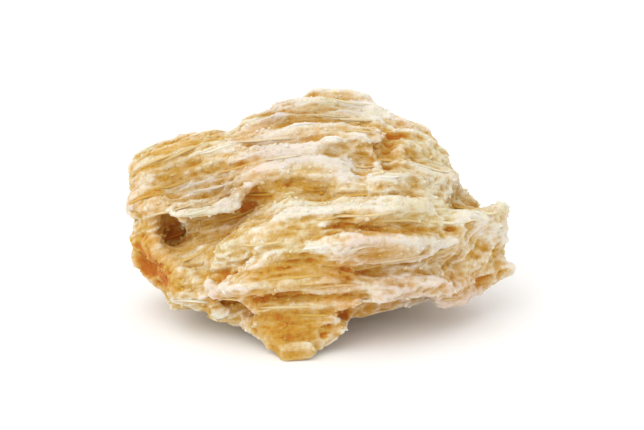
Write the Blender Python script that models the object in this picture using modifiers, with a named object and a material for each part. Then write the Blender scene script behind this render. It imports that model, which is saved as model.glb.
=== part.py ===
"""One chip of chopped, peeled and dried sweet flag root, lying on a level surface.

The fibres of the root run along X. The left end was cut across them by a knife, the back
was sliced along them, and the front, top and right end were torn, so that the layers of
fibre end one after the other in steps. X is the chip's length, Y its depth from the viewer
and Z its height. Every size is in millimetres and is turned to metres by MM.
"""

import math

import bmesh
import bpy
from mathutils import Matrix, Vector, noise

MM = 0.001

NODE = "root_chip"
COLLECTION = "sweet_flag_root"

# Overall size of the finished chip
LENGTH = 7.2
DEPTH = 5.1
HEIGHT = 3.75

# How finely the lumps are fused and the skin is made anew once the relief is raised, how far
# their edges are rounded each time, and the triangles kept
FUSE_STEP = 0.09
SKIN_STEP = 0.055
ROUNDING_PASSES = 4
FINISHING_PASSES = 3
ROUNDING_SHARE = 0.5
KEPT_TRIANGLES = 8000
# Height at which the three low spots are cut flat, where the chip has worn and settled
FLAT_LEVEL = 0.1
# Points nearer than this to that height are laid on it, so that the cut leaves no slivers,
# and the cut then takes points this close to it as lying on it
SNAP = 0.02
CUT_TOLERANCE = 0.0002

# Solid lumps, each the hull of its corners. The heart carries everything else, and the foot
# and the two rests reach down to the surface.
HEART = (
    (0.5, 1.9, 3.6), (-1.1, 1.7, 3.45), (-2.6, 1.0, 3.0), (-3.4, 0.1, 2.7),
    (-3.4, 0.2, 0.95), (-2.2, 1.4, 0.45), (0.2, 2.1, 0.45), (2.2, 1.2, 0.45),
    (3.1, 0.0, 0.7), (3.1, 0.2, 2.0), (2.4, 0.8, 2.7), (1.2, 2.3, 1.8),
    (-1.6, 2.2, 1.6), (-1.0, -0.8, 3.2), (0.9, -1.0, 2.9), (-0.6, -1.9, 1.7),
    (-1.8, -1.55, 1.5), (-1.6, -1.5, 0.55),
    (-0.5, -2.1, 0.4), (1.8, -1.4, 1.2), (-2.5, -0.9, 1.2), (-1.7, 0.2, 0.45),
)
LUMPS = {
    "left_lobe": (
        (-3.6, -0.4, 2.3), (-3.6, 0.4, 3.0), (-2.6, 0.8, 3.45), (-1.7, 0.6, 3.5),
        (-0.9, -0.8, 3.2), (-1.4, -1.6, 2.8), (-2.5, -1.5, 2.4), (-2.2, 0.3, 1.6),
    ),
    "left_wall": (
        (-3.5, -0.5, 2.5), (-3.5, -0.4, 1.3), (-2.95, -0.95, 1.5), (-3.0, -1.0, 2.3),
        (-2.8, 0.4, 1.2), (-2.8, 0.4, 2.4),
    ),
    "top_layer": (
        (-1.5, -0.4, 3.5), (-1.4, 1.0, 3.55), (0.0, 2.0, 3.75), (0.95, 1.8, 3.75),
        (1.2, -0.2, 3.65), (0.2, -0.7, 3.7), (-0.2, 0.4, 2.8), (0.8, 0.8, 2.8),
        (0.0, 2.1, 3.2), (1.2, 1.8, 3.2), (-1.5, 1.1, 3.1), (1.2, -0.2, 3.2),
    ),
    "shoulder": (
        (1.0, -0.3, 3.5), (1.3, 1.5, 3.45), (2.2, 1.15, 3.1), (2.65, 0.3, 2.65),
        (2.4, -0.9, 2.5), (1.0, -1.3, 2.85), (1.2, 0.6, 2.0), (2.4, 0.5, 1.8),
    ),
    "upper_ribs": (
        (-2.0, -1.5, 1.8), (-1.3, -1.75, 2.25), (-0.6, -1.8, 2.65), (0.6, -1.75, 2.75),
        (2.3, -1.3, 2.5), (1.0, -0.8, 2.7), (-0.3, -0.9, 2.8), (0.0, -1.0, 1.5),
        (0.4, -1.8, 2.0), (1.7, -1.6, 2.0), (2.6, -1.1, 2.1),
    ),
    "rib_bundle": (
        (-2.0, -1.9, 1.25), (-1.0, -2.1, 2.0), (0.4, -2.2, 2.3), (1.8, -1.8, 2.3),
        (3.6, -0.4, 2.45), (3.5, -0.2, 1.1), (3.4, 0.4, 1.7), (2.2, -1.7, 0.9),
        (0.2, -2.4, 1.0), (-1.2, -2.3, 0.9), (0.4, -0.6, 1.6),
    ),
    "right_tip": (
        (1.8, -1.3, 1.3), (3.7, -0.4, 1.2), (3.8, -0.2, 0.85), (3.0, 0.2, 0.6),
        (2.3, -1.3, 0.45), (2.0, 0.3, 1.4),
    ),
    "lower_corner": (
        (-3.5, -0.5, 1.6), (-3.4, -0.6, 1.0), (-2.6, -1.2, 0.5), (-1.6, -1.7, 0.6),
        (-1.8, -1.9, 1.2), (-2.9, -1.3, 1.6), (-2.4, 0.2, 0.8), (-2.3, -0.3, 0.5),
        (-2.4, -0.6, 1.5),
    ),
    "foot": (
        (-1.4, -1.7, 0.5), (-0.9, -2.3, 0.35), (-0.5, -2.55, -0.05), (0.1, -2.3, 0.15),
        (0.5, -2.1, 0.45), (0.8, -1.8, 0.6), (0.2, -2.3, 0.8), (-1.1, -2.2, 0.9),
        (-0.3, -1.4, 0.35), (-0.3, -0.8, 0.8),
    ),
    "back_slab": (
        (-2.5, 1.5, 1.1), (-2.7, 1.2, 2.3), (-1.4, 2.0, 2.9), (0.9, 2.3, 2.8),
        (1.9, 1.8, 2.3), (1.7, 2.1, 1.3), (-0.8, 2.55, 1.3), (0.0, 1.0, 1.5),
    ),
    "back_foot": (
        (-1.5, 1.7, 0.45), (1.7, 1.4, 0.45), (2.0, 1.7, 0.8), (-1.9, 2.0, 0.7),
        (0.3, 2.45, 0.6), (0.0, 0.8, 0.5),
    ),
    "left_rest": (
        (-2.05, 0.85, -0.1), (-1.65, 0.85, -0.1), (-1.85, 1.2, -0.1), (-2.5, 0.3, 0.6),
        (-1.0, 0.3, 0.6), (-1.8, 1.8, 0.6),
    ),
    "right_rest": (
        (1.25, 0.75, -0.1), (1.65, 0.75, -0.1), (1.45, 1.1, -0.1), (0.7, 0.3, 0.6),
        (2.2, 0.3, 0.6), (1.4, 1.7, 0.6),
    ),
}

# The viewer's place: marks are laid on the surface as seen from in front and above
VIEW_ABOVE = math.radians(22.0)
VIEW_BOTTOM = 2.5 * math.sin(VIEW_ABOVE)

# Ridges (height over 0) and grooves (height under 0) on the side towards the viewer: the
# points across and up as seen, in millimetres, then the half width and the height. A mark
# reaches this many half widths, and loses height where the surface faces the viewer by less
# than this share
MARK_REACH = 2.5
FULL_FACING = 0.4
MARKS = {
    "split": (((-2.6, 2.35), (-1.9, 2.45), (-1.1, 3.0), (-0.5, 3.3), (0.1, 3.15)), 0.22, -0.32),
    "left_pit": (((-2.7, 2.4), (-2.5, 2.35)), 0.26, -0.26),
    "lobe_rim": (((-3.4, 3.1), (-3.1, 3.65), (-2.4, 3.95), (-1.6, 3.9)), 0.22, 0.12),
    "lobe_dish": (((-2.6, 3.1), (-1.8, 3.25)), 0.42, -0.34),
    "upper_pit": (((1.2, 4.05), (1.3, 3.8)), 0.2, -0.4),
    "layer_step": (((-1.5, 4.2), (0.2, 4.1), (1.1, 4.0)), 0.16, -0.22),
    "bright_ridge": (((-0.95, 3.95), (-0.2, 3.75), (0.5, 3.5)), 0.2, 0.16),
    "rib_a": (((-1.1, 2.35), (-0.5, 2.75), (0.5, 2.8), (1.9, 2.75)), 0.16, 0.16),
    "knot_hole": (((0.4, 2.66), (0.5, 2.68)), 0.13, -0.2),
    "rib_b": (((-1.9, 1.95), (-0.7, 2.25), (0.6, 2.25), (2.6, 2.2)), 0.18, 0.16),
    "rib_groove": (((-1.0, 1.6), (-0.2, 1.85), (0.6, 1.65), (2.3, 1.85)), 0.16, -0.2),
    "upper_groove": (((0.8, 2.5), (1.6, 2.48), (2.5, 2.4)), 0.2, -0.05),
    "gold_rib": (((-1.8, 1.45), (-0.8, 1.55), (0.3, 1.5)), 0.18, 0.14),
    "under_groove": (((-2.3, 1.35), (-1.4, 1.15), (-0.2, 1.2), (0.9, 1.2)), 0.14, -0.18),
    "low_rib": (((0.6, 1.3), (1.7, 1.25), (2.6, 1.4)), 0.18, 0.14),
    "tip_groove": (((2.5, 2.1), (2.6, 1.5)), 0.12, -0.16),
    "corner_groove": (((-3.3, 1.8), (-2.7, 1.65), (-2.0, 1.7)), 0.16, -0.2),
    "corner_pit": (((-3.3, 1.95), (-3.1, 1.7)), 0.2, -0.3),
}

# Fibre relief, as pairs for the bundles and for the fibres in them: how long and how wide
# the waves are, and how high
GRAIN_LENGTHS = (4.2, 2.6)
GRAIN_WIDTHS = (0.62, 0.34)
GRAIN_HEIGHTS = (0.2, 0.11)
# The fibres rise towards the middle from the left end and are level right of this X
LEVEL_FROM = 0.5
RISE = 0.057
# A crest's sharpness, under 1 for a keen edge, and the level that its hollows start from
CREST_SHARPNESS = 0.6
MEAN_CREST = 0.7
# Share of the relief that a point moves along the fibres, so that cut ends stay plain
ALONG_SHARE = 0.35
# Broad unevenness of the torn sides
SWELL_WIDTH = 2.2
SWELL_HEIGHT = 0.16
# Share of the relief left on the side that the knife sliced, and how far a surface turns
# to the back where that side starts and where the share is reached
SLICED_SHARE = 0.7
SLICED_FROM = 0.45
SLICED_FULL = 0.7

# Colour of the dry flesh, as a display value, and how dull it is
FLESH_HEX = "DDBE8C"
FLESH_ROUGHNESS = 0.85
# Edges that turn more than this stay sharp in shading
SHARP_FROM = math.radians(50.0)


def linear(channel):
    """A display colour channel turned to the linear value that a material takes."""
    return channel / 12.92 if channel <= 0.04045 else ((channel + 0.055) / 1.055) ** 2.4


def colour_of(hex_code):
    """The linear colour with full alpha of a six-digit display colour."""
    channels = (int(hex_code[i:i + 2], 16) / 255 for i in (0, 2, 4))
    return (*(linear(channel) for channel in channels), 1.0)


def clear_scene():
    """Removes the objects that the scene starts with."""
    for obj in list(bpy.data.objects):
        bpy.data.objects.remove(obj, do_unlink=True)


def add_hull(mesh, corners):
    """Adds the closed hull of the corners, in millimetres, to a mesh being built."""
    verts = [mesh.verts.new(Vector(corner)) for corner in corners]
    made = bmesh.ops.convex_hull(mesh, input=verts)
    spare = [v for v in made["geom_interior"] if isinstance(v, bmesh.types.BMVert)]
    bmesh.ops.delete(mesh, geom=spare, context="VERTS")


def lumps_mesh():
    """The overlapping lumps as one loose mesh, still in millimetres."""
    mesh = bmesh.new()
    for corners in (HEART, *LUMPS.values()):
        add_hull(mesh, corners)
    bmesh.ops.recalc_face_normals(mesh, faces=mesh.faces)
    data = bpy.data.meshes.new("lumps")
    mesh.to_mesh(data)
    mesh.free()
    return data


def evaluated_copy(obj):
    """A plain mesh of the object with its modifiers applied."""
    graph = bpy.context.evaluated_depsgraph_get()
    return bpy.data.meshes.new_from_object(obj.evaluated_get(graph))


def remeshed(data, step, smoothing=0, triangles=0):
    """The mesh fused into one skin, its edges rounded and its triangles cut to a number."""
    obj = bpy.data.objects.new("remeshing", data)
    bpy.context.scene.collection.objects.link(obj)
    remesh = obj.modifiers.new("fuse", "REMESH")
    remesh.mode = "VOXEL"
    remesh.voxel_size = step
    if smoothing:
        smooth = obj.modifiers.new("round", "SMOOTH")
        smooth.iterations = smoothing
        smooth.factor = ROUNDING_SHARE
    result = evaluated_copy(obj)
    if triangles:
        faces = 2 * len(result.polygons)
        thin = obj.modifiers.new("thin", "DECIMATE")
        thin.ratio = min(1.0, triangles / faces)
        thin.use_collapse_triangulate = True
        result = evaluated_copy(obj)
    bpy.data.objects.remove(obj, do_unlink=True)
    return result


def seen(point):
    """Where a point shows to the viewer, across and up from the lowest point seen."""
    up = point.z * math.cos(VIEW_ABOVE) + point.y * math.sin(VIEW_ABOVE) + VIEW_BOTTOM
    return Vector((point.x, up))


def distance_to_path(place, path):
    """The least distance from a place to a path of straight runs, both as seen."""
    least = math.inf
    for start, end in zip(path, path[1:]):
        start, run = Vector(start), Vector(end) - Vector(start)
        along = max(0.0, min(1.0, (place - start).dot(run) / run.length_squared))
        least = min(least, (place - start - run * along).length)
    return least


def marks_height(point, normal):
    """The height that the ridges and grooves give a point, fading where it turns away."""
    towards = Vector((0.0, -math.cos(VIEW_ABOVE), math.sin(VIEW_ABOVE)))
    facing = max(0.0, min(1.0, normal.dot(towards) / FULL_FACING))
    if not facing:
        return 0.0
    place = seen(point)
    total = 0.0
    for path, half_width, height in MARKS.values():
        share = distance_to_path(place, path) / half_width
        if share < MARK_REACH:
            total += height * math.exp(-share * share)
    return total * facing


def grain_height(point, normal):
    """The relief of the fibres: long sharp crests along X with hollows between them."""
    bend = RISE * min(point.x - LEVEL_FROM, 0.0) ** 2
    total = SWELL_HEIGHT * noise.noise(point / SWELL_WIDTH)
    for length, width, height in zip(GRAIN_LENGTHS, GRAIN_WIDTHS, GRAIN_HEIGHTS):
        place = Vector((point.x / length, point.y / width, (point.z + bend) / width))
        total += height * (MEAN_CREST - 2.0 * abs(noise.noise(place)) ** CREST_SHARPNESS)
    sliced = max(0.0, min(1.0, (normal.y - SLICED_FROM) / (SLICED_FULL - SLICED_FROM)))
    return total * (1.0 + (SLICED_SHARE - 1.0) * sliced)


def raise_relief(data):
    """Moves every point of the skin along its normal by the relief there."""
    normals = [v.normal.copy() for v in data.vertices]
    for vert, normal in zip(data.vertices, normals):
        height = marks_height(vert.co, normal) + grain_height(vert.co, normal)
        across = Vector((normal.x * ALONG_SHARE, normal.y, normal.z))
        vert.co = vert.co + across * height
    data.update()


def drop_scraps(mesh):
    """Removes every body of a mesh being built but the one with the most points."""
    unseen = set(mesh.verts)
    bodies = []
    while unseen:
        body, edge_of_search = set(), [unseen.pop()]
        while edge_of_search:
            vert = edge_of_search.pop()
            body.add(vert)
            near = {edge.other_vert(vert) for edge in vert.link_edges} & unseen
            unseen -= near
            edge_of_search.extend(near)
        bodies.append(body)
    largest = max(bodies, key=len)
    spare = [vert for vert in mesh.verts if vert not in largest]
    bmesh.ops.delete(mesh, geom=spare, context="VERTS")


def cut_flat(data, level):
    """Cuts away what lies under a level and closes the cut with flat faces."""
    mesh = bmesh.new()
    mesh.from_mesh(data)
    drop_scraps(mesh)
    for vert in mesh.verts:
        if abs(vert.co.z - level) < SNAP:
            vert.co.z = level
    everything = mesh.verts[:] + mesh.edges[:] + mesh.faces[:]
    bmesh.ops.bisect_plane(
        mesh, geom=everything, dist=CUT_TOLERANCE, plane_co=(0, 0, level), plane_no=(0, 0, -1),
        clear_outer=True,
    )
    rim = [edge for edge in mesh.edges if edge.is_boundary]
    for vert in {vert for edge in rim for vert in edge.verts}:
        vert.co.z = level
    bmesh.ops.holes_fill(mesh, edges=rim, sides=0)
    drop_scraps(mesh)
    bmesh.ops.triangulate(mesh, faces=mesh.faces)
    bmesh.ops.recalc_face_normals(mesh, faces=mesh.faces)
    mesh.to_mesh(data)
    mesh.free()


def fit_to_size(data):
    """Brings the skin to its overall size in metres, standing on the origin."""
    points = [v.co for v in data.vertices]
    lowest = Vector([min(p[axis] for p in points) for axis in range(3)])
    highest = Vector([max(p[axis] for p in points) for axis in range(3)])
    middle = (lowest + highest) / 2
    middle.z = lowest.z
    size = highest - lowest
    scale = Matrix.Diagonal((LENGTH / size.x, DEPTH / size.y, HEIGHT / size.z, 1.0))
    data.transform(Matrix.Scale(MM, 4) @ scale @ Matrix.Translation(-middle))


def flesh_material():
    """Dry peeled root flesh: cream and dull."""
    material = bpy.data.materials.new("dry_root_flesh")
    material.use_nodes = True
    shader = material.node_tree.nodes["Principled BSDF"]
    shader.inputs["Base Color"].default_value = colour_of(FLESH_HEX)
    shader.inputs["Roughness"].default_value = FLESH_ROUGHNESS
    shader.inputs["Metallic"].default_value = 0.0
    return material


def chip_mesh():
    """The finished skin of the chip."""
    data = remeshed(lumps_mesh(), FUSE_STEP, ROUNDING_PASSES)
    raise_relief(data)
    data = remeshed(data, SKIN_STEP, FINISHING_PASSES, KEPT_TRIANGLES)
    cut_flat(data, FLAT_LEVEL)
    fit_to_size(data)
    return data


def main():
    clear_scene()
    home = bpy.data.collections.new(COLLECTION)
    bpy.context.scene.collection.children.link(home)
    chip = bpy.data.objects.new(NODE, chip_mesh())
    home.objects.link(chip)
    chip.data.materials.append(flesh_material())
    chip.data.shade_smooth()
    chip.data.set_sharp_from_angle(angle=SHARP_FROM)


if __name__ == "__main__":
    main()
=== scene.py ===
"""The looks of one chip of chopped, peeled and dried sweet flag root.

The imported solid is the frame. The chip's own piece repeats its form with a finer skin: fibres,
the spongy cells between them, and meal where the flesh has crumbled. Loose fibres and grains
of meal are scattered over it. The chip's fibres run along X, and its split front looks along -Y.
Lengths are in millimetres up to the last step of each piece, which turns them to metres.
"""

import math

import bmesh
import bpy
import numpy as np
from bpy.props import FloatProperty, FloatVectorProperty, IntProperty, PointerProperty
from mathutils import Matrix, Vector
from mathutils.bvhtree import BVHTree


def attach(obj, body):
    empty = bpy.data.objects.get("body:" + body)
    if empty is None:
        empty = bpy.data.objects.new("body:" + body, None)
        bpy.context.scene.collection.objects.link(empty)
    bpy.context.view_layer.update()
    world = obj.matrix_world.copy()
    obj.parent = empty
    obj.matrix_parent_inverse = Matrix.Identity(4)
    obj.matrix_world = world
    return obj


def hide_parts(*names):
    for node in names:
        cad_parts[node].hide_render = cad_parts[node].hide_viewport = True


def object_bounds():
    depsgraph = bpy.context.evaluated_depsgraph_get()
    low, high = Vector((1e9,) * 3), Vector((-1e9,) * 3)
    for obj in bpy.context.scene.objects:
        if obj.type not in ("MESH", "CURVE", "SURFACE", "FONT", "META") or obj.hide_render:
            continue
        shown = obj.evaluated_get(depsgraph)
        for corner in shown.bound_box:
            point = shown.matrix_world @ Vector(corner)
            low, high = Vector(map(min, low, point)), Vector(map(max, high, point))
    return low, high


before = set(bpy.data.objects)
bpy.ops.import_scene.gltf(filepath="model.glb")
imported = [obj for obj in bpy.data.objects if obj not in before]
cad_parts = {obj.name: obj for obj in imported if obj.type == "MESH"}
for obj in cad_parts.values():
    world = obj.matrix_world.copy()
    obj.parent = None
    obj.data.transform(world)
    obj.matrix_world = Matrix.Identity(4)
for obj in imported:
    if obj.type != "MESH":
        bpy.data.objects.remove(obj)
CAD_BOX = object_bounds()

bl_info = {
    "name": "Sweet flag root chip",
    "version": (1, 0, 0),
    "blender": (4, 5, 0),
    "location": "3D View > Sidebar > Root chip",
    "description": "Builds a chip of dried root with its loose fibres, meal grains and stage",
    "category": "Add Mesh",
}

NODE = "root_chip"
BODY = "root"
MM = 0.001

# The frame's corners that are one point are closer than this, in metres
DOUBLE = 1e-7

# The fibres rise towards the middle from the left end and are level right of this X
LEVEL_FROM = 0.5
RISE = 0.057

# Height of a fibre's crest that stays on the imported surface, so that the skin keeps its size
MEAN_CREST = 0.6
# Passes and share by which the new skin's steps are eased
EASE_PASSES = 8
EASE_SHARE = 0.5
# The fine fibres in each bundle: their size and their height as shares of the bundle's
FINE_SIZE = 0.45
FINE_HEIGHT = 0.4
# How far the noise strays from its middle value from a fibre's crest to its foot
CREST_SWING = 0.2
# A cell's length in widths, and how far in from its edge its hollow starts and is full
CELL_STRETCH = 2.2
CELL_WALL = 0.04
CELL_FLOOR = 0.32
# Fields of opened cells about 1.2 mm across: where the noise starts and fills them, and the
# share of the depth that is left between them
FIELD_SCALE = 0.8
FIELD_FROM = 0.42
FIELD_FULL = 0.6
FIELD_LEAST = 0.15
# The relief starts at the first height and is full at the second, so that the low spots which
# the chip rests on stay smooth
RELIEF_FROM = 0.02
RELIEF_FULL = 0.15

# The photograph's viewing angle, and how far under the origin heights as seen are counted from
VIEW_ABOVE = math.radians(22.0)
VIEW_BOTTOM = 2.5 * math.sin(VIEW_ABOVE)

# Marks on the side towards the viewer: grey is real weathering, brown is real brown marks with
# painted shade and glow in the pit, the split and the corner, gold is painted glow and shade on the
# underside and in hollows, and pale is painted highlight on lit ridges. Each is a path of points
# across and up as seen, its half width and its strength
MARKS_AND_PAINTED_LIGHT = {
    # Real brown marks, and painted shade and glow in the pit, the split and the corner
    "brown": (
        (((-2.75, 2.3), (-2.4, 2.4)), 0.3, 0.15),
        (((-2.1, 2.4), (-1.1, 3.05), (-0.5, 3.3)), 0.16, 0.25),
        (((-3.4, 2.05), (-3.2, 1.75), (-2.85, 1.5)), 0.32, 1.5),
        (((1.25, 4.1), (1.4, 3.85)), 0.26, 0.65),
        (((0.85, 2.42), (2.5, 2.35)), 0.15, 0.5),
        (((0.9, 1.98), (2.3, 1.95)), 0.1, 0.4),
        (((-1.0, 1.62), (-0.3, 1.85), (0.55, 1.65)), 0.16, 0.6),
        (((0.36, 2.63), (0.5, 2.66)), 0.14, 0.9),
    ),
    # Painted glow and shade on the underside and in hollows
    "gold": (
        (((-1.3, 0.9), (-0.4, 0.2), (0.6, 0.9)), 0.75, 0.95),
        (((-3.2, 2.9), (-2.4, 3.5), (-1.5, 3.35)), 0.45, 0.6),
        (((-1.9, 1.5), (0.3, 1.5)), 0.24, 1.1),
        (((-2.1, 2.0), (-1.0, 2.15), (0.2, 2.22)), 0.22, 0.5),
        (((2.8, 1.7), (3.5, 1.5)), 0.3, 0.55),
        (((-3.4, 3.4), (-2.9, 3.9), (-2.2, 4.1), (-1.4, 3.95)), 0.26, 0.6),
        (((1.6, 3.95), (2.2, 3.85)), 0.2, 0.3),
        (((-0.6, 4.4), (0.4, 4.35)), 0.14, 0.4),
    ),
    # Painted highlights along lit ridges
    "pale": (
        (((-1.1, 3.9), (-0.2, 3.78), (0.45, 3.55)), 0.2, 0.9),
        (((-0.9, 2.75), (0.4, 2.78)), 0.15, 0.5),
        (((1.1, 2.75), (2.3, 2.75)), 0.16, 0.6),
        (((1.6, 3.5), (2.4, 3.1)), 0.3, 0.4),
        (((2.5, 2.75), (3.4, 2.3)), 0.2, 0.8),
        (((1.0, 2.18), (2.4, 2.15)), 0.1, 0.5),
        (((1.3, 1.68), (2.2, 1.66)), 0.16, 0.6),
        (((0.7, 4.8), (1.1, 4.6)), 0.22, 0.9),
    ),
    "grey": (
        (((-2.6, 3.2), (-1.7, 3.2)), 0.35, 1.1),
        (((-1.1, 3.9), (0.45, 3.55)), 0.25, 0.5),
        (((1.7, 3.45), (2.4, 3.25)), 0.4, 0.3),
        (((0.8, 2.0), (2.2, 2.0)), 0.3, 0.6),
        (((-1.0, 4.5), (0.6, 4.65)), 0.22, 0.9),
        (((1.3, 1.2), (2.0, 1.1)), 0.22, 0.6),
    ),
}

# A mark, stain or painted light, is full where the surface faces the viewer, and is gone where it
# faces away by one part in this many
MARK_FACING = 3.0

# Directions, and how far each looks, by which a point's shelter is measured for the painted shade
SHELTER_RAYS = 20
SHELTER_REACH = 1.6
SHELTER_LIFT = 0.03
SHELTER_BLUR = 3

# Scattered things start at the first height above the surface and are densest this much higher
CLEAR_UNDER = 0.15
CLEAR_BLEND = 0.2
# Loose fibres lie where the skin's normal has less of the fibres' direction than the first
# share, and are densest where it has less by the second
END_SHARE = 0.75
END_BLEND = 0.4

# Points along a loose fibre, its sides, and the most fibres on a square millimetre
THREAD_POINTS = 14
THREAD_SIDES = 5
THREAD_DENSITY = 40.0
# How far a loose fibre strays from the others' direction, and the least share of its length
THREAD_STRAY = (0.1, 0.12, 0.12)
THREAD_LEAST = 0.35
# Passes that draw it taut, and how far it is lifted off the skin, in widths
THREAD_EASING = 3
THREAD_LIFT = 0.03
# The power of its taper, and the share of its width at its ends
THREAD_TAPER = 0.6
THREAD_END = 0.15

# The most meal grains on a square millimetre
GRAIN_DENSITY = 160.0
# A grain's knobs: how many across it, and how far they sink and stand out, as shares of it
KNOB_SCALE = 2.5
KNOB_SINK = -0.35
KNOB_RISE = 0.45
# A grain's least and greatest stretch, and its least width as a share. The power makes most
# of them small
GRAIN_STRETCH = (0.6, 1.3)
GRAIN_LEAST = 0.32
GRAIN_SKEW = 3.0

# Passes of blur, and heights in millimetres, by which fine edges and broad ribs are told
EDGE_BLUR = 5
EDGE_HEIGHT = 0.02
RIB_BLUR = 60
RIB_HEIGHT = 0.09

# Patterns in the flesh, as repeats to a millimetre. Where there are three, they are along the
# fibres and twice across them
MOTTLE_SCALE = 0.85
STREAK_SCALE = (0.33, 5.0, 5.0)
SPECK_SCALE = 7.0
# Grain and fibre walls are finer than the picture shows, so they are drawn 0.06 mm wide
FINE_SCALE = 16.0
WALL_SCALE = (1.5, 15.0, 15.0)
# Bundles of darker strands inside the flesh, and how far from a strand's middle it is full
# and ends, as shares of a repeat
BUNDLE_SCALE = (0.16, 1.9, 1.9)
BUNDLE_FULL = 0.1
BUNDLE_END = 0.3
# Patches 2 mm across that dried olive or pink, and the noise's values where each is full
PATCH_SCALE = 0.55
OLIVE_AT = 0.32
PINK_AT = 0.68
# How much of the weathered grey shows where its stain is full
GREY_SHARE = 0.6

# The tone of plain flesh, on the way from brown at 0 to white at 1, and what changes it: the
# value at which each does nothing, and how much it lightens or darkens past that
PLAIN_TONE = 0.59
TONES = {
    # Ribs, keen edges and fibre crests are lighter and hollows and opened cells darker: partly dust
    # on rubbed crests, partly painted highlight and painted shade
    "rib": (0.0, 0.3),
    "edge": (0.0, 0.12),
    "fibre_crest": (0.6, 0.16),
    "cell_pit": (0.0, -0.08),
    "mottle": (0.5, 0.8),
    "streak": (0.5, 0.8),
    "specks": (0.5, 0.7),
    "walls": (0.5, 0.5),
    "fine": (0.5, 0.5),
    "bundle": (0.0, -0.3),
    # Painted shade: darker where a point sees less of the open sky
    "painted_shade": (0.25, -0.5),
    # Pale marks are painted highlight, gold marks painted glow and shade, and brown marks real brown
    # with painted shade and glow in pits
    "pale": (0.0, 0.35),
    "gold": (0.0, -0.3),
    "brown": (0.0, -0.5),
}
COLOUR_STOPS = {
    "brown": 0.0, "gold": 0.24, "flesh": 0.46, "cream": 0.68, "ivory": 0.87, "white": 1.0,
}

# How light leaves the flesh: dull, a little dusty, and some of it through thin parts, where red
# travels farthest. The reach and the bump's height are in millimetres
FLESH_ROUGHNESS = 0.82
FLESH_SPECULAR = 0.25
MEAL_SHEEN = 0.1
MEAL_SHEEN_ROUGHNESS = 0.6
GLOW_SHARE = 0.3
GLOW_RADIUS = (1.0, 0.55, 0.2)
GLOW_REACH = 0.2
BUMP_HEIGHT = 0.045

# The softbox's place from the chip's middle and the range of what the camera sees, in metres,
# the width of its film in millimetres, and how dull the card is
SOFTBOX_PLACE = (-0.09, -0.07, 0.15)
NEAREST_SEEN = 0.001
FARTHEST_SEEN = 2.0
FILM_WIDTH = 36.0
CARD_ROUGHNESS = 0.95


def linear(channel):
    """A display colour channel turned to the linear value that a material takes."""
    return channel / 12.92 if channel <= 0.04045 else ((channel + 0.055) / 1.055) ** 2.4


def colour_of(hex_code):
    """The linear colour of a six-digit display colour."""
    return tuple(linear(int(hex_code[i:i + 2], 16) / 255) for i in (0, 2, 4))


def add_node(tree, kind, inputs=None, **settings):
    """Adds a node, sets it up, and gives each input a value or a link from a node or socket."""
    node = tree.nodes.new(kind)
    for name, value in settings.items():
        setattr(node, name, value)
    for key, value in (inputs or {}).items():
        if isinstance(key, str):
            socket = next(s for s in node.inputs if s.name == key and s.enabled)
        else:
            socket = node.inputs[key]
        if isinstance(value, bpy.types.Node):
            value = next(s for s in value.outputs if s.enabled)
        if isinstance(value, bpy.types.NodeSocket):
            tree.links.new(value, socket)
        else:
            socket.default_value = value
    return node


def new_tree(name, sizes):
    """A geometry tree from Geometry to Geometry with named inputs, and its two end nodes."""
    tree = bpy.data.node_groups.new(name, "GeometryNodeTree")
    tree.interface.new_socket("Geometry", in_out="INPUT", socket_type="NodeSocketGeometry")
    for label, kind in sizes.items():
        tree.interface.new_socket(label, in_out="INPUT", socket_type="NodeSocket" + kind)
    tree.interface.new_socket("Geometry", in_out="OUTPUT", socket_type="NodeSocketGeometry")
    return tree, tree.nodes.new("NodeGroupInput"), tree.nodes.new("NodeGroupOutput")


def add_tree(obj, tree, values):
    """Puts a geometry tree on an object as a modifier with the values of its inputs."""
    modifier = obj.modifiers.new(tree.name, "NODES")
    modifier.node_group = tree
    for item in tree.interface.items_tree:
        if item.in_out == "INPUT" and item.name in values:
            modifier[item.identifier] = values[item.name]
    return modifier


def baked_mesh(obj):
    """A plain mesh of the object as its modifiers leave it."""
    graph = bpy.context.evaluated_depsgraph_get()
    return bpy.data.meshes.new_from_object(obj.evaluated_get(graph))


def linked(name, mesh):
    """A new object of a mesh in the scene."""
    obj = bpy.data.objects.new(name, mesh)
    bpy.context.scene.collection.objects.link(obj)
    return obj


def points_of(mesh):
    """The places of a mesh's points as rows of an array."""
    places = np.empty(len(mesh.vertices) * 3)
    mesh.vertices.foreach_get("co", places)
    return places.reshape(-1, 3)


def normals_of(mesh):
    """The normals at a mesh's points as rows of an array."""
    normals = np.empty(len(mesh.vertices) * 3, np.float32)
    mesh.vertex_normals.foreach_get("vector", normals)
    return normals.reshape(-1, 3)


def store(mesh, name, values):
    """Keeps one number a point with the mesh."""
    layer = mesh.attributes.new(name, "FLOAT", "POINT")
    layer.data.foreach_set("value", np.asarray(values, np.float32))


def blurred(mesh, values, passes):
    """Numbers at a mesh's points, each drawn towards the mean of its neighbours."""
    edges = np.empty(len(mesh.edges) * 2, int)
    mesh.edges.foreach_get("vertices", edges)
    first, second = edges.reshape(-1, 2).T
    count = np.bincount(edges, minlength=len(values))
    for _ in range(passes):
        total = np.bincount(first, values[second], len(values))
        total += np.bincount(second, values[first], len(values))
        values = 0.5 * values + 0.5 * total / np.maximum(count, 1)
    return values


def to_path(places, path):
    """The least distance from each place to a path of straight runs, both as seen."""
    least = np.full(len(places), np.inf)
    for start, end in zip(path, path[1:]):
        start, run = np.array(start), np.subtract(end, start)
        along = np.clip((places - start) @ run / (run @ run), 0.0, 1.0)
        least = np.minimum(least, np.linalg.norm(places - start - along[:, None] * run, axis=1))
    return least


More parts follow.
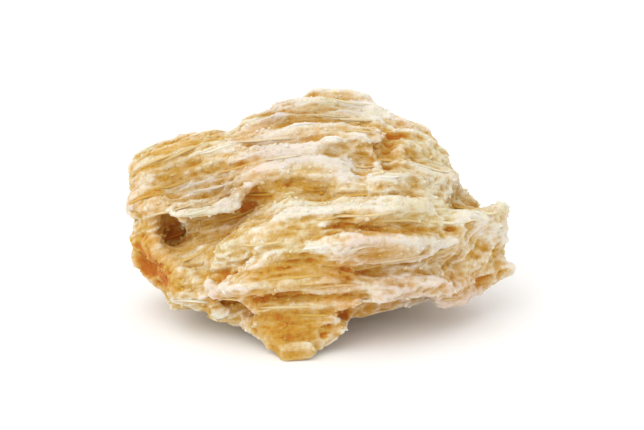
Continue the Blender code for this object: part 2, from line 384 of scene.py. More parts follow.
def mark_strength(points, normals, marks):
    """How strongly the marks of one colour, real stains or painted light, show at each point."""
    up = points[:, 2] * math.cos(VIEW_ABOVE) + points[:, 1] * math.sin(VIEW_ABOVE) + VIEW_BOTTOM
    places = np.column_stack((points[:, 0], up))
    towards = np.array((0.0, -math.cos(VIEW_ABOVE), math.sin(VIEW_ABOVE)))
    facing = np.clip(normals @ towards * MARK_FACING + 1.0, 0.0, 1.0)
    total = np.zeros(len(points))
    for path, half_width, strength in marks:
        share = to_path(places, path) / half_width
        total = np.maximum(total, strength * np.exp(-share * share))
    return total * facing


def sheltered(mesh):
    """The share of the open sky, from 0 to 1, that each point of a skin doesn't see."""
    tree = BVHTree.FromPolygons(
        [v.co for v in mesh.vertices], [p.vertices for p in mesh.polygons]
    )
    turn = math.pi * (3.0 - math.sqrt(5.0))
    rays = []
    for i in range(SHELTER_RAYS):
        rise = math.sqrt(1.0 - (i + 0.5) / SHELTER_RAYS)
        out = math.sqrt(1.0 - rise * rise)
        rays.append(Vector((math.cos(i * turn) * out, math.sin(i * turn) * out, rise)))
    up = Vector((0.0, 0.0, 1.0))
    shares = np.empty(len(mesh.vertices))
    for i, vert in enumerate(mesh.vertices):
        tilt = up.rotation_difference(vert.normal)
        start = vert.co + vert.normal * SHELTER_LIFT
        blocked = 0
        for ray in rays:
            if tree.ray_cast(start, tilt @ ray, SHELTER_REACH)[0] is not None:
                blocked += 1
        shares[i] = blocked / SHELTER_RAYS
    return blurred(mesh, shares, SHELTER_BLUR)


def left_of_level(tree, parts):
    """How far a point lies left of where the fibres turn level, as a number under 0."""
    past = add_node(
        tree, "ShaderNodeMath", {0: parts.outputs["X"], 1: LEVEL_FROM}, operation="SUBTRACT"
    )
    return add_node(tree, "ShaderNodeMath", {0: past, 1: 0.0}, operation="MINIMUM")


def relief_tree():
    """Raises fibres, sinks the cells between them and roughens the meal on a skin."""
    tree, given, made = new_tree("fine_relief", {
        "Fibre pitch": "Float", "Fibre run": "Float", "Fibre height": "Float",
        "Cell width": "Float", "Cell depth": "Float",
        "Grain width": "Float", "Grain height": "Float",
    })
    sockets = given.outputs
    place = add_node(tree, "GeometryNodeInputPosition")
    parts = add_node(tree, "ShaderNodeSeparateXYZ", {"Vector": place})
    left = left_of_level(tree, parts)
    square = add_node(tree, "ShaderNodeMath", {0: left, 1: left}, operation="MULTIPLY")
    level = add_node(
        tree, "ShaderNodeMath", {0: square, 1: RISE, 2: parts.outputs["Z"]}, operation="MULTIPLY_ADD"
    )
    straight = add_node(
        tree, "ShaderNodeCombineXYZ", {"X": parts.outputs["X"], "Y": parts.outputs["Y"], "Z": level}
    )
    # Bundles of fibres, and the fine fibres in them: crests where the noise crosses its middle
    crests = []
    for share in (1.0, FINE_SIZE):
        pitch = add_node(
            tree, "ShaderNodeMath", {0: sockets["Fibre pitch"], 1: share}, operation="MULTIPLY"
        )
        run = add_node(
            tree, "ShaderNodeMath", {0: sockets["Fibre run"], 1: share}, operation="MULTIPLY"
        )
        across = add_node(tree, "ShaderNodeCombineXYZ", {"X": run, "Y": pitch, "Z": pitch})
        strand = add_node(tree, "ShaderNodeVectorMath", {0: straight, 1: across}, operation="DIVIDE")
        wave = add_node(
            tree, "ShaderNodeTexNoise",
            {"Vector": strand, "Scale": 1.0, "Detail": 1.0, "Roughness": 0.5},
        )
        swing = add_node(tree, "ShaderNodeMath", {0: wave, 1: 0.5}, operation="SUBTRACT")
        fold = add_node(tree, "ShaderNodeMath", {0: swing}, operation="ABSOLUTE")
        crests.append(add_node(
            tree, "ShaderNodeMapRange",
            {"Value": fold, "From Min": 0.0, "From Max": CREST_SWING, "To Min": 1.0, "To Max": 0.0},
        ))
    fine = add_node(tree, "ShaderNodeMath", {0: crests[1], 1: FINE_HEIGHT}, operation="MULTIPLY")
    crest = add_node(tree, "ShaderNodeMath", {0: crests[0], 1: fine}, operation="ADD")
    above = add_node(tree, "ShaderNodeMath", {0: crest, 1: MEAN_CREST}, operation="SUBTRACT")
    fibre = add_node(
        tree, "ShaderNodeMath", {0: above, 1: sockets["Fibre height"]}, operation="MULTIPLY"
    )
    # Cells: hollows between thin walls, longer along the fibres, in scattered fields
    cell_shape = add_node(tree, "ShaderNodeCombineXYZ", {"X": CELL_STRETCH, "Y": 1.0, "Z": 1.0})
    cell_size = add_node(
        tree, "ShaderNodeVectorMath", {0: cell_shape, "Scale": sockets["Cell width"]},
        operation="SCALE",
    )
    cell_place = add_node(
        tree, "ShaderNodeVectorMath", {0: straight, 1: cell_size}, operation="DIVIDE"
    )
    cells = add_node(
        tree, "ShaderNodeTexVoronoi", {"Vector": cell_place, "Scale": 1.0}, feature="DISTANCE_TO_EDGE"
    )
    hollow = add_node(
        tree, "ShaderNodeMapRange",
        {"Value": cells, "From Min": CELL_WALL, "From Max": CELL_FLOOR, "To Min": 0.0, "To Max": 1.0},
        interpolation_type="SMOOTHSTEP",
    )
    field_noise = add_node(
        tree, "ShaderNodeTexNoise", {"Vector": straight, "Scale": FIELD_SCALE, "Detail": 2.0}
    )
    field = add_node(
        tree, "ShaderNodeMapRange",
        {"Value": field_noise, "From Min": FIELD_FROM, "From Max": FIELD_FULL,
         "To Min": FIELD_LEAST, "To Max": 1.0},
        interpolation_type="SMOOTHSTEP",
    )
    pit = add_node(tree, "ShaderNodeMath", {0: hollow, 1: field}, operation="MULTIPLY")
    sink = add_node(tree, "ShaderNodeMath", {0: pit, 1: sockets["Cell depth"]}, operation="MULTIPLY")
    # Meal: an even roughness
    grain_scale = add_node(
        tree, "ShaderNodeMath", {0: 1.0, 1: sockets["Grain width"]}, operation="DIVIDE"
    )
    meal = add_node(
        tree, "ShaderNodeTexNoise",
        {"Vector": place, "Scale": grain_scale, "Detail": 3.0, "Roughness": 0.6},
    )
    around = add_node(tree, "ShaderNodeMath", {0: meal, 1: 0.5}, operation="SUBTRACT")
    rough = add_node(
        tree, "ShaderNodeMath", {0: around, 1: sockets["Grain height"]}, operation="MULTIPLY"
    )
    raised = add_node(tree, "ShaderNodeMath", {0: fibre, 1: rough}, operation="ADD")
    height = add_node(tree, "ShaderNodeMath", {0: raised, 1: sink}, operation="SUBTRACT")
    # The low spots that the chip rests on stay smooth
    lift = add_node(
        tree, "ShaderNodeMapRange",
        {"Value": parts.outputs["Z"], "From Min": RELIEF_FROM, "From Max": RELIEF_FULL,
         "To Min": 0.0, "To Max": 1.0},
    )
    kept = add_node(tree, "ShaderNodeMath", {0: height, 1: lift}, operation="MULTIPLY")
    normal = add_node(tree, "GeometryNodeInputNormal")
    offset = add_node(tree, "ShaderNodeVectorMath", {0: normal, "Scale": kept}, operation="SCALE")
    source = sockets["Geometry"]
    for name, kind, value in (
        ("strand_place", "FLOAT_VECTOR", straight),
        ("fibre_crest", "FLOAT", crest),
        ("cell_pit", "FLOAT", pit),
    ):
        source = add_node(
            tree, "GeometryNodeStoreNamedAttribute",
            {"Geometry": source, "Name": name, "Value": value}, data_type=kind, domain="POINT",
        )
    moved = add_node(tree, "GeometryNodeSetPosition", {"Geometry": source, "Offset": offset})
    tree.links.new(moved.outputs[0], made.inputs[0])
    return tree


def chip_skin(sizes):
    """The finished skin of the chip in millimetres, with what its material reads."""
    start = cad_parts[NODE].data.copy()
    mesh = bmesh.new()
    mesh.from_mesh(start)
    bmesh.ops.remove_doubles(mesh, verts=mesh.verts, dist=DOUBLE)
    mesh.to_mesh(start)
    mesh.free()
    start.materials.clear()
    start.transform(Matrix.Scale(1 / MM, 4))
    work = linked("chip_work", start)
    remesh = work.modifiers.new("fine_skin", "REMESH")
    remesh.mode = "VOXEL"
    remesh.voxel_size = sizes.skin_step
    smooth = work.modifiers.new("ease", "SMOOTH")
    smooth.iterations = EASE_PASSES
    smooth.factor = EASE_SHARE
    add_tree(work, relief_tree(), {
        "Fibre pitch": sizes.fibre_pitch, "Fibre run": sizes.fibre_run,
        "Fibre height": sizes.fibre_height,
        "Cell width": sizes.cell_width, "Cell depth": sizes.cell_depth,
        "Grain width": sizes.grain_width, "Grain height": sizes.grain_height,
    })
    skin = baked_mesh(work)
    bpy.data.objects.remove(work, do_unlink=True)
    for vert in skin.vertices:
        vert.co.z = max(vert.co.z, 0.0)
    skin.update()
    return skin


def standing_out(mesh, passes, full):
    """How far each point stands out of the blurred skin around it, as a share of a height."""
    points = points_of(mesh)
    around = np.column_stack([blurred(mesh, points[:, axis], passes) for axis in range(3)])
    return np.einsum("ij,ij->i", points - around, normals_of(mesh)) / full


def add_looks(skin):
    """Stores what the material reads: shelter, which it paints as shade, ribs, keen edges, and the
    named marks, some real stains and some painted light.
    """
    points, normals = points_of(skin), normals_of(skin)
    store(skin, "painted_shade", sheltered(skin))
    store(skin, "edge", np.clip(standing_out(skin, EDGE_BLUR, EDGE_HEIGHT), -1.0, 1.0))
    store(skin, "rib", np.clip(standing_out(skin, RIB_BLUR, RIB_HEIGHT), -1.0, 1.0))
    for name, marks in MARKS_AND_PAINTED_LIGHT.items():
        store(skin, name, mark_strength(points, normals, marks))
    # Loose fibres lie where the skin runs along them, and nothing lies on the low spots
    clear = np.clip((points[:, 2] - CLEAR_UNDER) / CLEAR_BLEND, 0.0, 1.0)
    along = np.clip((END_SHARE - np.abs(normals[:, 0])) / END_BLEND, 0.0, 1.0)
    store(skin, "fibrous", clear * along)
    store(skin, "mealy", clear)


def flesh_material(colours):
    """Dried rhizome flesh, torn and cut: mealy and dull, and light glows warmly in thin parts."""
    material = bpy.data.materials.new("dried_rhizome_flesh")
    material.use_nodes = True
    tree = material.node_tree
    shader = tree.nodes["Principled BSDF"]
    reads = {
        name: add_node(tree, "ShaderNodeAttribute", attribute_name=name).outputs["Fac"]
        for name in ("painted_shade", "edge", "rib", "fibre_crest", "cell_pit", *MARKS_AND_PAINTED_LIGHT)
    }
    strand = add_node(tree, "ShaderNodeAttribute", attribute_name="strand_place").outputs["Vector"]

    # Mottling 1.2 mm across, streaks 0.2 mm apart and 3 mm long, and specks of meal 0.15 mm wide
    reads["mottle"] = add_node(
        tree, "ShaderNodeTexNoise", {"Vector": strand, "Scale": MOTTLE_SCALE, "Detail": 3.0}
    )
    stretch = add_node(
        tree, "ShaderNodeVectorMath", {0: strand, 1: STREAK_SCALE}, operation="MULTIPLY"
    )
    reads["streak"] = add_node(
        tree, "ShaderNodeTexNoise", {"Vector": stretch, "Scale": 1.0, "Detail": 2.0}
    )
    reads["specks"] = add_node(
        tree, "ShaderNodeTexNoise",
        {"Vector": strand, "Scale": SPECK_SCALE, "Detail": 3.0, "Roughness": 0.7},
    )

    # Grain, and fibre walls drawn out along the fibres
    fine = add_node(
        tree, "ShaderNodeTexNoise",
        {"Vector": strand, "Scale": FINE_SCALE, "Detail": 4.0, "Roughness": 0.75},
    )
    hair = add_node(tree, "ShaderNodeVectorMath", {0: strand, 1: WALL_SCALE}, operation="MULTIPLY")
    walls = add_node(
        tree, "ShaderNodeTexNoise",
        {"Vector": hair, "Scale": 1.0, "Detail": 3.0, "Roughness": 0.6},
    )
    # Strands 0.15 mm wide: lines along the flesh, dots across it
    inside = add_node(
        tree, "ShaderNodeVectorMath", {0: strand, 1: BUNDLE_SCALE}, operation="MULTIPLY"
    )
    bundles = add_node(tree, "ShaderNodeTexVoronoi", {"Vector": inside, "Scale": 1.0})
    reads["bundle"] = add_node(
        tree, "ShaderNodeMapRange",
        {"Value": bundles.outputs["Distance"], "From Min": BUNDLE_FULL, "From Max": BUNDLE_END,
         "To Min": 1.0, "To Max": 0.0},
        interpolation_type="SMOOTHSTEP",
    )
    reads["walls"], reads["fine"] = walls, fine

    # One tone runs from the brown of the deepest pits, painted shade and glow, to the white of the
    # crests, dust of meal and painted highlight
    tone = PLAIN_TONE
    for name, (middle, gain) in TONES.items():
        term = add_node(
            tree, "ShaderNodeMath", {0: reads[name], 1: gain, 2: -middle * gain},
            operation="MULTIPLY_ADD",
        )
        tone = add_node(tree, "ShaderNodeMath", {0: tone, 1: term}, operation="ADD")
    ramp = add_node(tree, "ShaderNodeValToRGB", {"Fac": tone})
    stops = ramp.color_ramp.elements
    while len(stops) < len(COLOUR_STOPS):
        stops.new(0.5)
    for stop, (name, position) in zip(stops, COLOUR_STOPS.items()):
        stop.position = position
        stop.color = (*getattr(colours, name), 1.0)
    patches = add_node(
        tree, "ShaderNodeTexNoise", {"Vector": strand, "Scale": PATCH_SCALE, "Detail": 3.0}
    )
    cast = add_node(tree, "ShaderNodeValToRGB", {"Fac": patches})
    casts = cast.color_ramp.elements
    casts[0].position, casts[1].position = OLIVE_AT, PINK_AT
    casts.new((OLIVE_AT + PINK_AT) / 2).color = (1.0, 1.0, 1.0, 1.0)
    casts[0].color, casts[2].color = (*colours.olive, 1.0), (*colours.pink, 1.0)
    grey_share = add_node(
        tree, "ShaderNodeMath", {0: reads["grey"], 1: GREY_SHARE}, operation="MULTIPLY"
    )
    greyed = add_node(
        tree, "ShaderNodeMix", {"Factor": grey_share, "A": cast, "B": (*colours.grey, 1.0)},
        data_type="RGBA",
    )
    colour = add_node(
        tree, "ShaderNodeMix", {"Factor": 1.0, "A": ramp, "B": greyed},
        data_type="RGBA", blend_type="MULTIPLY",
    )
    base = next(socket for socket in colour.outputs if socket.enabled)
    tree.links.new(base, shader.inputs["Base Color"])

    # Dry and dull, with meal that catches light at a grazing angle
    shader.inputs["Roughness"].default_value = FLESH_ROUGHNESS
    shader.inputs["Specular IOR Level"].default_value = FLESH_SPECULAR
    shader.inputs["Sheen Weight"].default_value = MEAL_SHEEN
    shader.inputs["Sheen Roughness"].default_value = MEAL_SHEEN_ROUGHNESS
    shader.inputs["Subsurface Weight"].default_value = GLOW_SHARE
    shader.inputs["Subsurface Radius"].default_value = GLOW_RADIUS
    shader.inputs["Subsurface Scale"].default_value = GLOW_REACH * MM

    both = add_node(tree, "ShaderNodeMath", {0: fine, 1: walls}, operation="ADD")
    bump = add_node(
        tree, "ShaderNodeBump", {"Strength": 1.0, "Distance": BUMP_HEIGHT * MM, "Height": both}
    )
    tree.links.new(bump.outputs["Normal"], shader.inputs["Normal"])
    return material


def build_chip(sizes, colours):
    """The chip's own piece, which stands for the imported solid."""
    skin = chip_skin(sizes)
    add_looks(skin)
    skin.transform(Matrix.Scale(MM, 4))
    skin.shade_smooth()
    skin.materials.append(flesh_material(colours))
    chip = linked("chip_flesh", skin)
    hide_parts(NODE)
    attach(chip, BODY)


def thread_tree(material):
    """Lays loose fibres over a skin: threads along X that follow it and end in points."""
    tree, given, made = new_tree("loose_fibres", {
        "Length": "Float", "Width": "Float", "Spacing": "Float", "Seed": "Int",
    })
    sockets = given.outputs
    skin = sockets["Geometry"]
    fibrous = add_node(
        tree, "GeometryNodeInputNamedAttribute", {"Name": "fibrous"}, data_type="FLOAT"
    )
    spread = add_node(
        tree, "GeometryNodeDistributePointsOnFaces",
        {"Mesh": skin, "Distance Min": sockets["Spacing"], "Density Max": THREAD_DENSITY,
         "Density Factor": fibrous, "Seed": sockets["Seed"]},
        distribute_method="POISSON",
    )
    step = 1.0 / (THREAD_POINTS - 1)
    line = add_node(
        tree, "GeometryNodeMeshLine",
        {"Count": THREAD_POINTS, "Start Location": (-0.5, 0.0, 0.0), "Offset": (step, 0.0, 0.0)},
    )
    # They rise with the fibres on the left, and stray a little from them
    place = add_node(tree, "GeometryNodeInputPosition")
    parts = add_node(tree, "ShaderNodeSeparateXYZ", {"Vector": place})
    left = left_of_level(tree, parts)
    slope = add_node(tree, "ShaderNodeMath", {0: left, 1: -2.0 * RISE}, operation="MULTIPLY")
    along = add_node(tree, "ShaderNodeCombineXYZ", {"X": 1.0, "Y": 0.0, "Z": slope})
    stray = add_node(
        tree, "FunctionNodeRandomValue",
        {"Min": tuple(-part for part in THREAD_STRAY), "Max": THREAD_STRAY, "Seed": sockets["Seed"]},
        data_type="FLOAT_VECTOR",
    )
    heading = add_node(tree, "ShaderNodeVectorMath", {0: along, 1: stray}, operation="ADD")
    turn = add_node(tree, "FunctionNodeAlignRotationToVector", {"Vector": heading}, axis="X")
    share = add_node(
        tree, "FunctionNodeRandomValue", {"Min": THREAD_LEAST, "Max": 1.0, "Seed": sockets["Seed"]}
    )
    long = add_node(tree, "ShaderNodeMath", {0: share, 1: sockets["Length"]}, operation="MULTIPLY")
    size = add_node(tree, "ShaderNodeCombineXYZ", {"X": long, "Y": 1.0, "Z": 1.0})
    placed = add_node(
        tree, "GeometryNodeInstanceOnPoints",
        {"Points": spread.outputs["Points"], "Instance": line, "Rotation": turn, "Scale": size},
    )
    real = add_node(tree, "GeometryNodeRealizeInstances", {"Geometry": placed})
    # Each is laid on the skin, drawn taut over small hollows and lifted by a little
    nearest = add_node(tree, "GeometryNodeProximity", {"Geometry": skin}, target_element="FACES")
    laid = add_node(
        tree, "GeometryNodeSetPosition", {"Geometry": real, "Position": nearest.outputs["Position"]}
    )
    eased = add_node(
        tree, "GeometryNodeBlurAttribute", {"Value": place, "Iterations": THREAD_EASING},
        data_type="FLOAT_VECTOR",
    )
    normal = add_node(tree, "GeometryNodeInputNormal")
    outward = add_node(
        tree, "GeometryNodeSampleNearestSurface", {"Mesh": skin, "Value": normal},
        data_type="FLOAT_VECTOR",
    )
    lift = add_node(
        tree, "ShaderNodeMath", {0: sockets["Width"], 1: THREAD_LIFT}, operation="MULTIPLY"
    )
    raised = add_node(
        tree, "ShaderNodeVectorMath", {0: outward.outputs["Value"], "Scale": lift}, operation="SCALE"
    )
    taut = add_node(
        tree, "GeometryNodeSetPosition", {"Geometry": laid, "Position": eased, "Offset": raised}
    )
    # It is broken where it would hang free
    gap = add_node(tree, "GeometryNodeProximity", {"Geometry": skin}, target_element="FACES")
    free = add_node(
        tree, "FunctionNodeCompare", {"A": gap.outputs["Distance"], "B": sockets["Width"]},
        data_type="FLOAT", operation="GREATER_THAN",
    )
    held = add_node(
        tree, "GeometryNodeDeleteGeometry", {"Geometry": taut, "Selection": free},
        domain="POINT", mode="ALL",
    )
    curve = add_node(tree, "GeometryNodeMeshToCurve", {"Mesh": held})
    # Width: full in the middle, a point at both ends
    way = add_node(tree, "GeometryNodeSplineParameter")
    half_turn = add_node(
        tree, "ShaderNodeMath", {0: way.outputs["Factor"], 1: math.pi}, operation="MULTIPLY"
    )
    swell = add_node(tree, "ShaderNodeMath", {0: half_turn}, operation="SINE")
    full = add_node(tree, "ShaderNodeMath", {0: swell, 1: THREAD_TAPER}, operation="POWER")
    blunt = add_node(tree, "ShaderNodeMath", {0: full, 1: THREAD_END}, operation="MAXIMUM")
    ring = add_node(
        tree, "GeometryNodeCurvePrimitiveCircle", {"Resolution": THREAD_SIDES, "Radius": 0.5}
    )
    width = add_node(tree, "ShaderNodeMath", {0: blunt, 1: sockets["Width"]}, operation="MULTIPLY")
    tube = add_node(
        tree, "GeometryNodeCurveToMesh",
        {"Curve": curve, "Profile Curve": ring, "Scale": width, "Fill Caps": True},
    )
    real_again = add_node(tree, "GeometryNodeRealizeInstances", {"Geometry": tube})
    finished = add_node(
        tree, "GeometryNodeSetMaterial", {"Geometry": real_again, "Material": material}
    )
    tree.links.new(finished.outputs[0], made.inputs[0])
    return tree


def grain_tree(material):
    """Scatters grains of meal over a skin: uneven lumps whose middles lie on it."""
    tree, given, made = new_tree("meal_grains", {
        "Width": "Float", "Spacing": "Float", "Seed": "Int",
    })
    sockets = given.outputs
    mealy = add_node(tree, "GeometryNodeInputNamedAttribute", {"Name": "mealy"}, data_type="FLOAT")
    spread = add_node(
        tree, "GeometryNodeDistributePointsOnFaces",
        {"Mesh": sockets["Geometry"], "Distance Min": sockets["Spacing"],
         "Density Max": GRAIN_DENSITY, "Density Factor": mealy, "Seed": sockets["Seed"]},
        distribute_method="POISSON",
    )
    ball = add_node(tree, "GeometryNodeMeshIcoSphere", {"Radius": 0.5, "Subdivisions": 1})
    place = add_node(tree, "GeometryNodeInputPosition")
    knobs = add_node(
        tree, "ShaderNodeTexNoise", {"Vector": place, "Scale": KNOB_SCALE, "Detail": 1.0}
    )
    swell = add_node(
        tree, "ShaderNodeMapRange",
        {"Value": knobs, "From Min": 0.3, "From Max": 0.7, "To Min": KNOB_SINK, "To Max": KNOB_RISE},
    )
    push = add_node(tree, "ShaderNodeVectorMath", {0: place, "Scale": swell}, operation="SCALE")
    lump = add_node(
        tree, "GeometryNodeSetPosition", {"Geometry": ball.outputs["Mesh"], "Offset": push}
    )
    turn = add_node(
        tree, "FunctionNodeRandomValue",
        {"Min": (0.0, 0.0, 0.0), "Max": (math.tau, math.tau, math.tau), "Seed": sockets["Seed"]},
        data_type="FLOAT_VECTOR",
    )
    uneven = add_node(
        tree, "FunctionNodeRandomValue",
        {"Min": (GRAIN_STRETCH[0],) * 3, "Max": (GRAIN_STRETCH[1],) * 3, "Seed": sockets["Seed"]},
        data_type="FLOAT_VECTOR",
    )
    # Few grains are large and most are small
    chance = add_node(
        tree, "FunctionNodeRandomValue", {"Min": 0.0, "Max": 1.0, "Seed": sockets["Seed"]}
    )
    skewed = add_node(tree, "ShaderNodeMath", {0: chance, 1: GRAIN_SKEW}, operation="POWER")
    share = add_node(
        tree, "ShaderNodeMapRange", {"Value": skewed, "To Min": GRAIN_LEAST, "To Max": 1.0}
    )
    width = add_node(tree, "ShaderNodeMath", {0: share, 1: sockets["Width"]}, operation="MULTIPLY")
    size = add_node(tree, "ShaderNodeVectorMath", {0: uneven, "Scale": width}, operation="SCALE")
    placed = add_node(
        tree, "GeometryNodeInstanceOnPoints",
        {"Points": spread.outputs["Points"], "Instance": lump, "Rotation": turn, "Scale": size},
    )
    real = add_node(tree, "GeometryNodeRealizeInstances", {"Geometry": placed})
    finished = add_node(tree, "GeometryNodeSetMaterial", {"Geometry": real, "Material": material})
    tree.links.new(finished.outputs[0], made.inputs[0])
    return tree


def scatter(name, tree, values):
    """A piece of what a tree scatters over the chip's skin, riding with the chip."""
    skin = bpy.data.objects["chip_flesh"].data.copy()
    skin.transform(Matrix.Scale(1 / MM, 4))
    work = linked(name + "_work", skin)
    add_tree(work, tree, values)
    mesh = baked_mesh(work)
    bpy.data.objects.remove(work, do_unlink=True)
    if not mesh.polygons:
        raise RuntimeError(f"nothing was scattered for {name}")
    for vert in mesh.vertices:
        vert.co.z = max(vert.co.z, 0.0)
    mesh.transform(Matrix.Scale(MM, 4))
    mesh.shade_smooth()
    piece = linked(name, mesh)
    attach(piece, BODY)


def build_stage(stage):
    """A pale floor, soft studio light and a camera at the photograph's viewing angle."""
    scene = bpy.context.scene
    floor_mesh = bpy.data.meshes.new("floor")
    mesh = bmesh.new()
    bmesh.ops.create_grid(mesh, x_segments=1, y_segments=1, size=stage.floor_size / 2)
    mesh.to_mesh(floor_mesh)
    mesh.free()
    # Matt card shows the eye an even white without a highlight
    paper = bpy.data.materials.new("matt_white_card")
    paper.use_nodes = True
    shader = paper.node_tree.nodes["Principled BSDF"]
    shader.inputs["Base Color"].default_value = (*stage.floor_colour, 1.0)
    shader.inputs["Roughness"].default_value = CARD_ROUGHNESS
    floor_mesh.materials.append(paper)
    floor = linked("floor", floor_mesh)

    world = bpy.data.worlds.new("white_room")
    scene.world = world
    world.use_nodes = True
    back = world.node_tree.nodes["Background"]
    back.inputs["Color"].default_value = (1.0, 1.0, 1.0, 1.0)
    back.inputs["Strength"].default_value = stage.room_light
    middle = (CAD_BOX[0] + CAD_BOX[1]) / 2
    key = bpy.data.lights.new("softbox", "AREA")
    key.shape = "DISK"
    key.size = stage.softbox_size
    key.energy = stage.softbox_power
    box = linked("softbox", key)
    box.location = middle + Vector(SOFTBOX_PLACE)
    box.rotation_euler = (middle - box.location).to_track_quat("-Z", "Y").to_euler()

    camera = bpy.data.cameras.new("camera")
    camera.lens = stage.lens
    camera.sensor_width = FILM_WIDTH
    camera.clip_start = NEAREST_SEEN
    camera.clip_end = FARTHEST_SEEN
    viewer = linked("camera", camera)
    length = CAD_BOX[1].x - CAD_BOX[0].x
    away = length / stage.frame_share * stage.lens / camera.sensor_width
    towards = Vector((0.0, -math.cos(VIEW_ABOVE), math.sin(VIEW_ABOVE)))
    viewer.location = middle + towards * away
    viewer.rotation_euler = (-towards).to_track_quat("-Z", "Y").to_euler()
    scene.camera = viewer
    scene.view_settings.view_transform = "Standard"


class ChipSettings(bpy.types.PropertyGroup):
    """Sizes of the chip's skin, in millimetres."""
    skin_step: FloatProperty(
        name="Skin step", description="Width of the faces of the chip's skin, in millimetres",
        default=0.0385, min=0.03, max=0.2,
    )
    fibre_pitch: FloatProperty(
        name="Fibre pitch",
        description="Distance across the fibres from one to the next, in millimetres",
        default=0.42, min=0.05, max=1.0,
    )
    fibre_run: FloatProperty(
        name="Fibre run", description="Length over which a fibre stays in sight, in millimetres",
        default=3.6, min=0.2, max=8.0,
    )
    fibre_height: FloatProperty(
        name="Fibre height", description="How far a fibre stands out, in millimetres",
        default=0.08, min=0.0, max=0.2,
    )
    cell_width: FloatProperty(
        name="Cell width",
        description="Width of the spongy cells between the fibres, in millimetres",
        default=0.15, min=0.05, max=1.0,
    )
    cell_depth: FloatProperty(
        name="Cell depth", description="Depth of the opened cells, in millimetres",
        default=0.035, min=0.0, max=0.2,
    )
    grain_width: FloatProperty(
        name="Grain width", description="Width of the meal's roughness, in millimetres",
        default=0.17, min=0.05, max=1.0,
    )
    grain_height: FloatProperty(
        name="Grain height", description="Height of the meal's roughness, in millimetres",
        default=0.08, min=0.0, max=0.3,
    )


class ScatterSettings(bpy.types.PropertyGroup):
    """Sizes of what is scattered over the chip, in millimetres."""
    thread_length: FloatProperty(
        name="Fibre length", description="Length of the longest loose fibres, in millimetres",
        default=1.7, min=0.1, max=6.0,
    )
    thread_width: FloatProperty(
        name="Fibre width", description="Width of a loose fibre, in millimetres",
        default=0.06, min=0.01, max=0.5,
    )
    thread_spacing: FloatProperty(
        name="Fibre spacing",
        description="Least distance between the middles of loose fibres, in millimetres",
        default=0.62, min=0.05, max=2.0,
    )
    grain_width: FloatProperty(
        name="Grain width", description="Width of the largest grains of meal, in millimetres",
        default=0.1, min=0.01, max=0.5,
    )
    grain_spacing: FloatProperty(
        name="Grain spacing", description="Least distance between grains of meal, in millimetres",
        default=0.1, min=0.03, max=2.0,
    )
    seed: IntProperty(
        name="Seed", description="Another number scatters them in other places", default=7, min=0,
    )


def tint(label, text, hex_code):
    """A colour that the user may change."""
    return FloatVectorProperty(
        name=label, description=text, subtype="COLOR", size=3,
        default=colour_of(hex_code), min=0.0, max=1.0,
    )


class ChipColours(bpy.types.PropertyGroup):
    """Colours of the dried flesh."""
    # White and ivory show on crests, as dust of meal and as painted highlight
    white: tint("White", "The palest crests, dusty with meal", "F3EADA")
    ivory: tint("Ivory", "Rubbed crests", "EEDFC3")
    cream: tint("Cream", "Fresh breaks", "E5CB9C")
    flesh: tint("Flesh", "The flesh between crests and hollows", "DBB26A")
    # Gold and brown are painted glow and shade in hollows, undersides and pits, and brown is also
    # real brown marks
    gold: tint("Gold", "Hollows and undersides, where light comes through the flesh", "D5A43C")
    brown: tint("Brown", "The deepest pits, where light through the flesh is reddest", "CB7A1C")
    grey: tint("Grey", "What weathered layers are dulled by, a pinkish grey", "D8CFCF")
    olive: tint("Olive", "Cast of the patches that dried greenish", "F3F0D8")
    pink: tint("Pink", "Cast of the patches that dried pinkish", "F9E9E2")


class StageSettings(bpy.types.PropertyGroup):
    """The floor, the light and the camera."""
    floor_size: FloatProperty(
        name="Floor size", description="Side of the square floor", default=1.2, min=0.1, unit="LENGTH"
    )
    floor_colour: tint("Floor colour", "Colour of the matt card floor", "FAFAFA")
    room_light: FloatProperty(
        name="Room light", description="Strength of the even white light from all round",
        default=0.96, min=0.0,
    )
    softbox_size: FloatProperty(
        name="Softbox size", description="Diameter of the softbox",
        default=0.26, min=0.01, unit="LENGTH",
    )
    softbox_power: FloatProperty(
        name="Softbox power", description="Power of the softbox", default=0.2, min=0.0, unit="POWER"
    )
    lens: FloatProperty(
        name="Lens", description="Focal length of the camera", default=300.0, min=20.0, unit="CAMERA"
    )
    frame_share: FloatProperty(
        name="Share of the frame", description="The chip's length as a share of the picture's width",
        default=0.6, min=0.1, max=1.0, subtype="FACTOR",
    )


class ROOTCHIP_OT_flesh(bpy.types.Operator):
    """Builds the chip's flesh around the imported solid"""
    bl_idname = "rootchip.flesh"
    bl_label = "Chip flesh"
    bl_options = {"REGISTER", "UNDO"}

    def execute(self, context):
        build_chip(context.scene.rootchip_sizes, context.scene.rootchip_colours)
        return {"FINISHED"}


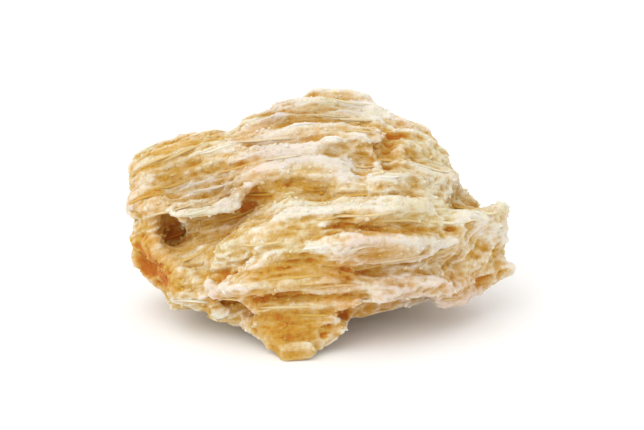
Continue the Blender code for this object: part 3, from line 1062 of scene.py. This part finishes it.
class ROOTCHIP_OT_scatter(bpy.types.Operator):
    """Scatters loose fibres and grains of meal over the chip"""
    bl_idname = "rootchip.scatter"
    bl_label = "Loose fibres and meal"
    bl_options = {"REGISTER", "UNDO"}

    def execute(self, context):
        sizes = context.scene.rootchip_scatter
        material = bpy.data.materials["dried_rhizome_flesh"]
        scatter("loose_fibres", thread_tree(material), {
            "Length": sizes.thread_length, "Width": sizes.thread_width,
            "Spacing": sizes.thread_spacing, "Seed": sizes.seed,
        })
        scatter("meal_grains", grain_tree(material), {
            "Width": sizes.grain_width, "Spacing": sizes.grain_spacing, "Seed": sizes.seed,
        })
        return {"FINISHED"}


class ROOTCHIP_OT_stage(bpy.types.Operator):
    """Builds the floor, the light and the camera"""
    bl_idname = "rootchip.stage"
    bl_label = "Stage"
    bl_options = {"REGISTER", "UNDO"}

    def execute(self, context):
        build_stage(context.scene.rootchip_stage)
        return {"FINISHED"}


class ROOTCHIP_PT_panel(bpy.types.Panel):
    """Lists the chip's settings and the steps that build it"""
    bl_idname = "ROOTCHIP_PT_panel"
    bl_label = "Root chip"
    bl_space_type = "VIEW_3D"
    bl_region_type = "UI"
    bl_category = "Root chip"

    def draw(self, context):
        for operator in OPERATORS:
            self.layout.operator(operator.bl_idname)
        for name, group in SETTINGS.items():
            settings = getattr(context.scene, name)
            for label in group.__annotations__:
                self.layout.prop(settings, label)


SETTINGS = {
    "rootchip_sizes": ChipSettings,
    "rootchip_colours": ChipColours,
    "rootchip_scatter": ScatterSettings,
    "rootchip_stage": StageSettings,
}
OPERATORS = (ROOTCHIP_OT_flesh, ROOTCHIP_OT_scatter, ROOTCHIP_OT_stage)


def register():
    """Makes the settings, the steps and the panel known to Blender."""
    for group in (*SETTINGS.values(), *OPERATORS, ROOTCHIP_PT_panel):
        bpy.utils.register_class(group)
    for name, group in SETTINGS.items():
        setattr(bpy.types.Scene, name, PointerProperty(type=group))


def unregister():
    """Takes the settings, the steps and the panel out again."""
    for name in SETTINGS:
        delattr(bpy.types.Scene, name)
    for group in (ROOTCHIP_PT_panel, *reversed(OPERATORS), *SETTINGS.values()):
        bpy.utils.unregister_class(group)


def main():
    """Builds everything in order."""
    register()
    bpy.ops.rootchip.flesh()
    bpy.ops.rootchip.scatter()
    bpy.ops.rootchip.stage()


if __name__ == "__main__":
    main()
